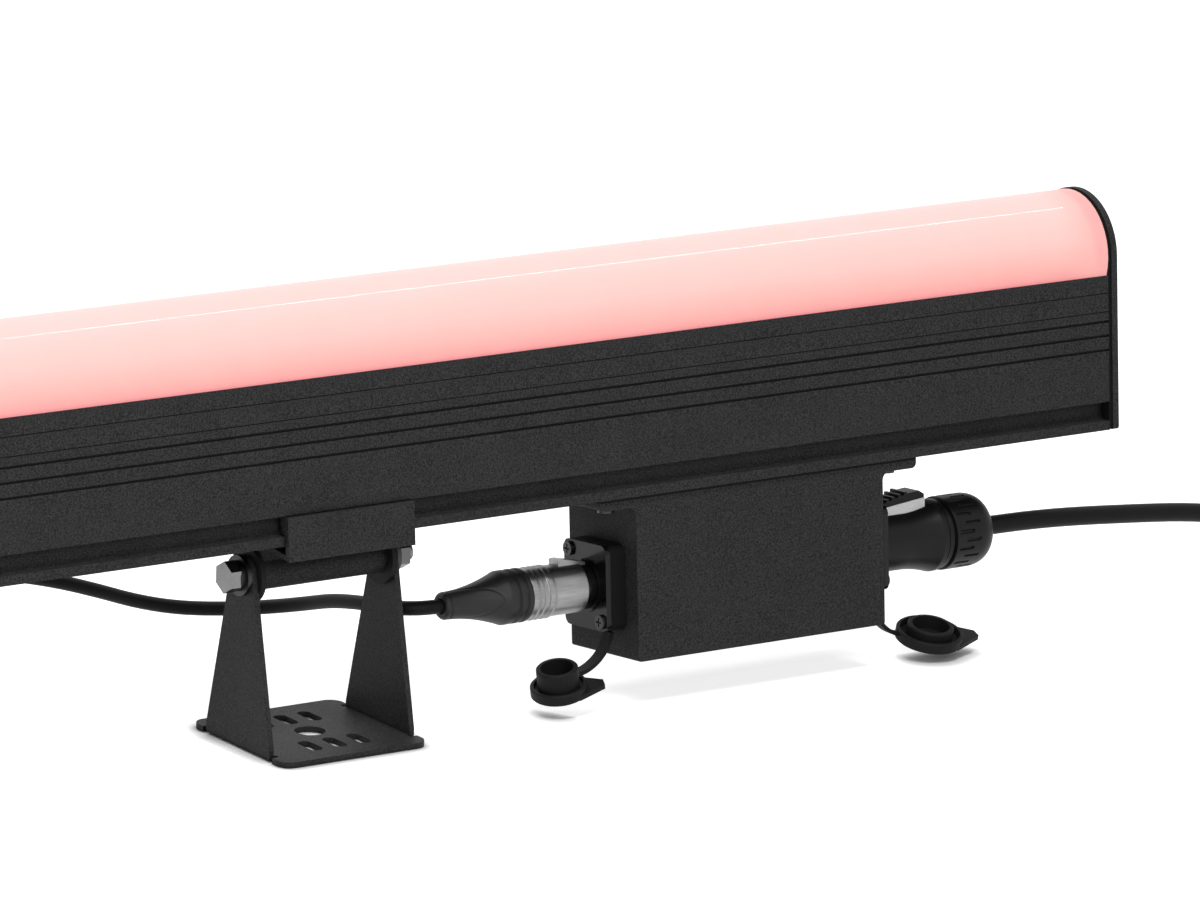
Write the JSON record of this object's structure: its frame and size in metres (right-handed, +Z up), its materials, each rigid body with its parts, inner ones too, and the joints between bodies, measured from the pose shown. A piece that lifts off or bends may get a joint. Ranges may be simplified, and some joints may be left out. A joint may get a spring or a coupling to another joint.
{
  "type": "outdoor wall washer light",
  "caption": "Long black linear wall washer light with a glowing half-round diffuser, connector box, plugged leads and two sliding tilt brackets.",
  "frame": {"origin": "on the floor under the middle of the lamp's length, between the two bracket feet", "axes": "+X along the lamp towards the connector box, +Y away from the front, +Z up"},
  "size_m": [1.295, 0.2021, 0.1615],
  "materials": {
    "body_black": "fine-textured black powder coat",
    "bracket_black": "fine-textured black powder coat",
    "diffuser": "satin opal plastic, lit pink from inside",
    "rubber_black": "matte moulded rubber",
    "gasket_grey": "grey sheet rubber",
    "board": "white circuit board",
    "board_green": "green circuit board",
    "led": "surface-mounted light chips",
    "supply_case": "plain sheet case",
    "chip": "moulded parts",
    "wire": "sheathed wires",
    "screw_black": "blackened steel",
    "screw_steel": "bright steel",
    "plastic_black": "satin black plastic",
    "plastic_gloss": "glossy black plastic",
    "shell_silver": "satin nickel-plated shell",
    "latch_silver": "pale silver-grey moulding",
    "contact": "gold-plated contacts",
    "bolt_steel": "zinc-plated steel",
    "cable_black": "smooth black cable sheath"
  },
  "bodies": {
    "lamp": {"housing_profile": "body_black", "diffuser_dome": "diffuser", "diffuser_seals": "rubber_black", "led_boards": "board", "leds": "led", "power_supply": "supply_case", "pixel_driver_board": "board_green", "driver_components": "chip", "wire_grommet": "rubber_black", "wire_bundle": "wire", "end_cap_left": "body_black", "end_cap_right": "body_black", "end_gasket_left": "gasket_grey", "end_gasket_right": "gasket_grey", "end_cap_screws": "screw_black", "connector_box": "body_black", "box_gasket": "rubber_black", "box_screws": "screw_black", "data_socket_shell": "plastic_gloss", "data_socket_seal": "rubber_black", "data_socket_pins": "contact", "data_socket_screws": "screw_black", "power_socket_shell": "plastic_gloss", "power_socket_seal": "rubber_black", "power_socket_contacts": "contact", "power_socket_screws": "screw_black", "data_plug_boot": "plastic_black", "data_plug_shell": "shell_silver", "data_plug_insert": "plastic_gloss", "far_plug_boot": "plastic_black", "far_plug_shell": "shell_silver", "far_plug_insert": "plastic_gloss", "far_plug_pins": "contact", "data_cable": "cable_black", "data_cable_coil": "cable_black"},
    "data_latch": {"data_plug_latch": "shell_silver"},
    "data_cap": {"data_cap": "rubber_black"},
    "power_cap": {"power_cap": "rubber_black"},
    "power_lead": {"power_cable": "cable_black", "power_cable_coil": "cable_black", "mains_plug_body": "plastic_black", "mains_plug_pins": "screw_steel"},
    "power_plug": {"power_plug_body": "plastic_black", "power_plug_nut": "plastic_black"},
    "power_latch": {"power_plug_latch": "latch_silver", "power_latch_grip": "plastic_black"},
    "clamp_left": {"slider_clamp_left": "bracket_black", "set_screws_left": "screw_steel", "spacer_washers_left": "rubber_black"},
    "bracket_left": {"yoke_left": "bracket_black", "pivot_bolt_left": "bolt_steel", "pivot_nut_left": "bolt_steel", "pivot_washers_left": "screw_black"},
    "clamp_right": {"slider_clamp_right": "bracket_black", "set_screws_right": "screw_steel", "spacer_washers_right": "rubber_black"},
    "bracket_right": {"yoke_right": "bracket_black", "pivot_bolt_right": "bolt_steel", "pivot_nut_right": "bolt_steel", "pivot_washers_right": "screw_black"}
  },
  "joints": [
    {"name": "data_latch_press", "type": "slide", "parent": "lamp", "child": "data_latch", "axis": [0, -0.0958, -0.9954], "range_m": [0, 0.001], "stiffness_N_per_m": 400},
    {"name": "data_cap_swing", "type": "hinge", "parent": "lamp", "child": "data_cap", "pos_m": [0.2815, -0.0115, 0.0259], "axis": [0, 1, 0], "range_deg": [0, 12]},
    {"name": "power_cap_swing", "type": "hinge", "parent": "lamp", "child": "power_cap", "pos_m": [0.3975, -0.0115, 0.0259], "axis": [0, 1, 0], "range_deg": [-15, 0]},
    {"name": "power_plug_pull", "type": "slide", "parent": "lamp", "child": "power_lead", "axis": [1, 0, 0], "range_m": [0, 0.025]},
    {"name": "power_plug_twist", "type": "hinge", "parent": "power_lead", "child": "power_plug", "pos_m": [0.43, -0.00204, 0.0408], "axis": [1, 0, 0], "range_deg": [-30, 0]},
    {"name": "power_latch_slide", "type": "slide", "parent": "power_plug", "child": "power_latch", "axis": [1, 0, 0], "range_m": [0, 0.004], "stiffness_N_per_m": 500},
    {"name": "clamp_slide_right", "type": "slide", "parent": "lamp", "child": "clamp_right", "axis": [1, 0, 0], "range_m": [-0.1, 0]},
    {"name": "bracket_tilt_right", "type": "hinge", "parent": "clamp_right", "child": "bracket_right", "pos_m": [0.1645, 0, 0.062], "axis": [1, 0, 0], "range_deg": [-90, 79]},
    {"name": "clamp_slide_left", "type": "slide", "parent": "lamp", "child": "clamp_left", "axis": [1, 0, 0], "range_m": [-0.1, 0.1]},
    {"name": "bracket_tilt_left", "type": "hinge", "parent": "clamp_left", "child": "bracket_left", "pos_m": [-0.1645, 0, 0.062], "axis": [1, 0, 0], "range_deg": [-90, 79]}
  ]
}
